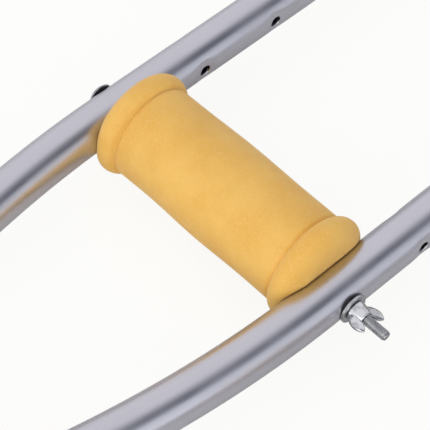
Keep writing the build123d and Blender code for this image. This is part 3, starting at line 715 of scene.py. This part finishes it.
def gripBolt(side):
    # Shank and thread are one surface: at each angle the radius falls by a rounded tooth
    # that advances one pitch a turn, and fades out where the plain shank begins. The head
    # is a low round dome on a short rim.
    b = boltFigures
    low, high = nodeSpan("grip_bolt", 1)
    seat = high - b["headHeight"]
    threadEnd = low + b["threadLength"]
    threadRows = int(b["threadLength"] / b["pitch"] * b["perTurn"])
    shank = np.concatenate([np.linspace(low, threadEnd, threadRows),
                            np.linspace(threadEnd, seat, b["headRows"])[1:]])
    domeHeight = b["headHeight"] - b["rim"]
    ball = (b["headRadius"] ** 2 + domeHeight ** 2) / (2 * domeHeight)
    sweep = np.linspace(math.asin(b["headRadius"] / ball), 0.01, b["headRows"])
    domeR, domeY = ball * np.sin(sweep), high - ball * (1 - np.cos(sweep))
    flatR = np.linspace(b["radius"], b["headRadius"] - b["rimRound"], 6)[1:]
    place = np.concatenate([[low], shank, np.full(5, seat), [seat + 0.6 * b["rimRound"]], domeY])
    size = np.concatenate([[0.02], np.full(len(shank), b["radius"]), flatR, [b["headRadius"]], domeR])
    p, a = np.meshgrid(place, fullTurn(b["around"]), indexing="ij")
    phase = np.mod(p / b["pitch"] - a / (2 * math.pi), 1.0)
    tooth = np.abs(2 * phase - 1) ** b["toothPower"]
    fade = np.clip((threadEnd - p) / b["runOut"], 0, 1) * (p > low + 1e-6)
    lead = np.clip((p - low) / b["point"], 0, 1)
    r = size[:, None] - b["threadDepth"] * tooth * fade
    r = r - b["pointDepth"] * (1 - lead) * (size[:, None] > 1)
    points = np.stack([(r * np.cos(a)).ravel(), p.ravel(), (r * np.sin(a)).ravel()], axis=1)
    faces, caps = cappedGrid(points, len(place), b["around"])
    piece = meshPiece(side + "_grip_bolt_threaded", points + spots[side], faces, caps=caps)
    return finishPiece(piece, side, "grip_bolt", "grip", boltMetal)


# Wing nut

nutFigures = {
    "hubRadius": 5.2, "hubTop": 3.9, "hubHeight": 7.0, "round": 0.7, "bore": 2.55,
    "wingFrom": (1.2, 3.2), "wingBend": (6.9, 3.4), "wingTo": (6.7, 11.6),
    "wingHalfWidth": 2.8, "wingHalfThick": 1.45, "wingLength": 9.0, "neck": 0.8, "swell": 0.3,
    "rootThick": 1.1, "thinning": 0.25, "flat": 3.0, "roll": 17.0, "around": 72, "along": 40,
}


def nutWing(sign):
    # A rounded bar along a curve that leaves the hub sideways and turns up beside the bolt.
    # Its width swells from the hub, and an oval closes it at the tip.
    n = nutFigures
    t = np.sin(np.linspace(0, math.pi / 2, n["along"]))
    a, b, c = (np.array(n[key]) for key in ("wingFrom", "wingBend", "wingTo"))
    reach = 1 - n["wingHalfWidth"] / n["wingLength"]
    middle = ((1 - t) ** 2)[:, None] * a + (2 * t * (1 - t))[:, None] * b + (t ** 2)[:, None] * c
    ahead = (2 * (1 - t))[:, None] * (b - a) + (2 * t)[:, None] * (c - b)
    ahead /= np.linalg.norm(ahead, axis=1)[:, None]
    sideways = np.stack([ahead[:, 1], -ahead[:, 0]], axis=1)
    close = np.sqrt(np.clip(1 - (np.clip(t - reach, 0, None) / (1 - reach)) ** 2, 1e-4, 1))
    wide = n["wingHalfWidth"] * (n["neck"] + n["swell"] * np.sin(math.pi * t)) * close
    thick = n["wingHalfThick"] * (n["rootThick"] - n["thinning"] * t) * close
    across, up = superCurve(fullTurn(n["around"]), n["flat"])
    out = middle[:, 0, None] + sideways[:, 0, None] * wide[:, None] * across
    high = middle[:, 1, None] + sideways[:, 1, None] * wide[:, None] * across
    deep = thick[:, None] * up
    points = np.stack([sign * out.ravel(), -high.ravel(), deep.ravel()], axis=1)
    return points, *cappedGrid(points, n["along"], n["around"])


def wingNut(side):
    # A tapered hub with rounded rims, and the two wings, rolled to where the photo has them
    n = nutFigures
    base = nodeSpan("wing_nut", 1)[1]
    corner = np.linspace(0, math.pi / 2, 7)
    top, r0 = n["hubHeight"], n["round"]
    foot = [(-r0 * (1 - math.cos(k)), n["hubRadius"] - r0 * (1 - math.sin(k))) for k in corner]
    shoulder = [(-top + r0 * (1 - math.sin(k)), n["hubTop"] - r0 * (1 - math.cos(k))) for k in corner]
    profile = [(0.0, n["bore"])] + foot + shoulder + [(-top, n["bore"])]
    points, faces = revolved(profile, n["around"])
    caps = []
    for sign in (1, -1):
        wingPoints, wingFaces, wingCaps = nutWing(sign)
        faces = np.concatenate([faces, wingFaces + len(points)])
        caps += [cap + len(points) for cap in wingCaps]
        points = np.concatenate([points, wingPoints])
    roll = math.radians(n["roll"])
    x, z = points[:, 0].copy(), points[:, 2].copy()
    points[:, 0] = x * math.cos(roll) + z * math.sin(roll)
    points[:, 2] = z * math.cos(roll) - x * math.sin(roll)
    points[:, 1] += base
    piece = meshPiece(side + "_wing_nut_cast", points + spots[side], faces, caps=caps)
    return finishPiece(piece, side, "wing_nut", "nut", nutMetal)


# Leaf spring behind the snap buttons

springFigures = {"strip": 0.8, "apex": 3.0, "flat": 14.0, "along": 60, "around": 40, "edge": 8.0}


def springArm(side, button, sign):
    # Half of the bent strip: a quarter circle from the bend's apex, a straight arm and the
    # flat under the button, with a thin rounded oblong carried along them.
    s = springFigures
    low, high = nodeSpan("button_spring", 0)
    left, right = nodeSpan("button_spring", 1)
    level = nodeSpan("button_spring", 2)[1] - s["strip"] / 2
    bend = low + s["strip"] / 2 + s["apex"]
    corner = np.linspace(math.pi, math.pi / 2, 16)
    arm = np.linspace(0, 1, s["along"])[1:]
    foot = high - s["flat"]
    x = np.concatenate([bend + s["apex"] * np.cos(corner), bend + (foot - bend) * arm,
                        foot + s["flat"] * arm])
    z = np.concatenate([s["apex"] * np.sin(corner), s["apex"] + (level - s["apex"]) * arm,
                        np.full(len(arm), level)])
    ahead = np.stack([np.gradient(x), np.gradient(z)], axis=1)
    ahead /= np.linalg.norm(ahead, axis=1)[:, None]
    wide, thick = superCurve(fullTurn(s["around"]), s["edge"])
    px = x[:, None] - ahead[:, 1, None] * thick * s["strip"] / 2
    pz = z[:, None] + ahead[:, 0, None] * thick * s["strip"] / 2
    py = np.broadcast_to((left + right) / 2 + (right - left) / 2 * wide, px.shape)
    points = np.stack([px.ravel(), py.ravel(), sign * pz.ravel()], axis=1)
    faces, caps = cappedGrid(points, len(x), s["around"])
    piece = meshPiece(side + "_button_spring_" + button + "_arm", points + spots[side], faces, caps=caps)
    piece.data.materials.clear()
    piece.data.materials.append(springMetal)
    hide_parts(side + "_button_spring")
    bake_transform(piece)
    return piece


for side in crutchSides:
    sideTubes(side)
    legTubes(side)
    gripCore(side)
    handGrip(side)
    underarmCushion(side)
    gripBolt(side)
    wingNut(side)
    springArm(side, "upper", 1)
    springArm(side, "lower", -1)
    print(side, "crutch dressed")


# Camera, floor and light

photo = {
    "size": 430, "focal": 2065.85, "sensor": 36.0,
    "spot": (-430.9, -380.1, 733.7),      # from the grip bolt, in millimetres
    "azimuth": 41.67, "dip": 52.41, "roll": 5.1, "farthest": 20.0,
}


def photoCamera():
    # Looking down along the azimuth and dip, then rolled about the line of sight
    data = bpy.data.cameras.new("photo camera")
    data.sensor_width = photo["sensor"]
    data.sensor_fit = "HORIZONTAL"
    data.lens = photo["focal"] / photo["size"] * photo["sensor"]
    data.clip_end = photo["farthest"]
    camera = bpy.data.objects.new("photo camera", data)
    bpy.context.scene.collection.objects.link(camera)
    az, dip = math.radians(photo["azimuth"]), math.radians(photo["dip"])
    ahead = Vector((math.cos(dip) * math.cos(az), math.cos(dip) * math.sin(az), -math.sin(dip)))
    right = Vector((math.sin(az), -math.cos(az), 0))
    up = right.cross(ahead)
    roll = math.radians(photo["roll"])
    right, up = right * math.cos(roll) + up * math.sin(roll), up * math.cos(roll) - right * math.sin(roll)
    turn = Matrix((right, up, -ahead)).transposed().to_4x4()
    spot = Vector((spots["left"] + np.array(photo["spot"])) * mm)
    camera.matrix_world = Matrix.Translation(spot) @ turn
    bpy.context.scene.camera = camera
    return camera


studio = {
    "floorSize": 9.0, "floorDrop": 0.5, "paper": "#E2E2E0", "lift": 0.86, "white": "#FFFFFD",
    "whiteLevel": 1.04, "sky": "#F7F5FA", "skyLevel": 1.0, "dark": "#6E7688", "darkLevel": 0.55,
    "darkAt": (0.40, -0.70, 0.59), "darkEdge": 0.68, "darkCore": 0.93,
    "lamps": {
        "side lamp": {"spot": (0.5, -2.2, 0.9), "size": (3.0, 1.8), "watts": 15.0, "colour": "#F8FAFF"},
        "left lamp": {"spot": (-2.0, -1.0, 0.8), "size": (2.4, 1.6), "watts": 21.0, "colour": "#FFFDF6"},
    },
}


def paleFloor():
    # White paper: it keeps the soft shadow, and only the camera sees it lifted to white
    bpy.ops.mesh.primitive_plane_add(size=studio["floorSize"], location=(0, 0, -studio["floorDrop"] * mm))
    floor = bpy.context.object
    floor.name = "studio_floor"
    material = bpy.data.materials.new("matt white paper")
    material.use_nodes = True
    tree = material.node_tree
    tree.nodes.clear()
    paper = addNode(tree, "ShaderNodeBsdfDiffuse", {"Color": linear(studio["paper"])})
    seen = addNode(tree, "ShaderNodeLightPath")
    glow = addNode(tree, "ShaderNodeEmission", {
        "Color": linear(studio["white"]), "Strength": studio["whiteLevel"]})
    factor = addNode(tree, "ShaderNodeMath", {0: seen.outputs["Is Camera Ray"], 1: studio["lift"]},
                     operation="MULTIPLY")
    mixed = addNode(tree, "ShaderNodeMixShader", {
        0: factor.outputs["Value"], 1: paper.outputs["BSDF"], 2: glow.outputs["Emission"]})
    addNode(tree, "ShaderNodeOutputMaterial", {"Surface": mixed.outputs["Shader"]})
    floor.data.materials.append(material)
    return floor


def softLight(name, spot, target, size, watts, colour):
    # A rectangular lamp at a spot, facing the target
    data = bpy.data.lights.new(name, "AREA")
    data.shape = "RECTANGLE"
    data.size, data.size_y = size
    data.energy = watts
    data.color = linear(colour)[:3]
    lamp = bpy.data.objects.new(name, data)
    bpy.context.scene.collection.objects.link(lamp)
    lamp.location = spot
    lamp.rotation_euler = (Vector(target) - Vector(spot)).to_track_quat("-Z", "Y").to_euler()
    return lamp


def studioLight():
    # An even pale tent all round, with one dark gap high on the wing nut's side, which
    # draws the dark band along the tubes, and two large soft lamps, one from the wing
    # nut's side and one from the left
    world = bpy.data.worlds.new("studio")
    bpy.context.scene.world = world
    world.use_nodes = True
    tree = world.node_tree
    tree.nodes.clear()
    towards = addNode(tree, "ShaderNodeTexCoord").outputs["Generated"]
    aim = addNode(tree, "ShaderNodeVectorMath", {
        0: towards, 1: tuple(Vector(studio["darkAt"]).normalized())}, operation="DOT_PRODUCT")
    gap = addNode(tree, "ShaderNodeMapRange", {
        "Value": aim.outputs["Value"], "From Min": studio["darkEdge"],
        "From Max": studio["darkCore"]}, interpolation_type="SMOOTHSTEP")
    tent = addNode(tree, "ShaderNodeBackground", {
        "Color": linear(studio["sky"]), "Strength": studio["skyLevel"]})
    shade = addNode(tree, "ShaderNodeBackground", {
        "Color": linear(studio["dark"]), "Strength": studio["darkLevel"]})
    both = addNode(tree, "ShaderNodeMixShader", {
        0: gap.outputs["Result"], 1: tent.outputs["Background"], 2: shade.outputs["Background"]})
    addNode(tree, "ShaderNodeOutputWorld", {"Surface": both.outputs["Shader"]})
    middle = tuple(spots["left"] * mm)
    for name, lamp in studio["lamps"].items():
        softLight(name, target=middle, **lamp)


photoCamera()
paleFloor()
studioLight()

scene = bpy.context.scene
scene.view_settings.view_transform = "Standard"

print("scene ready")
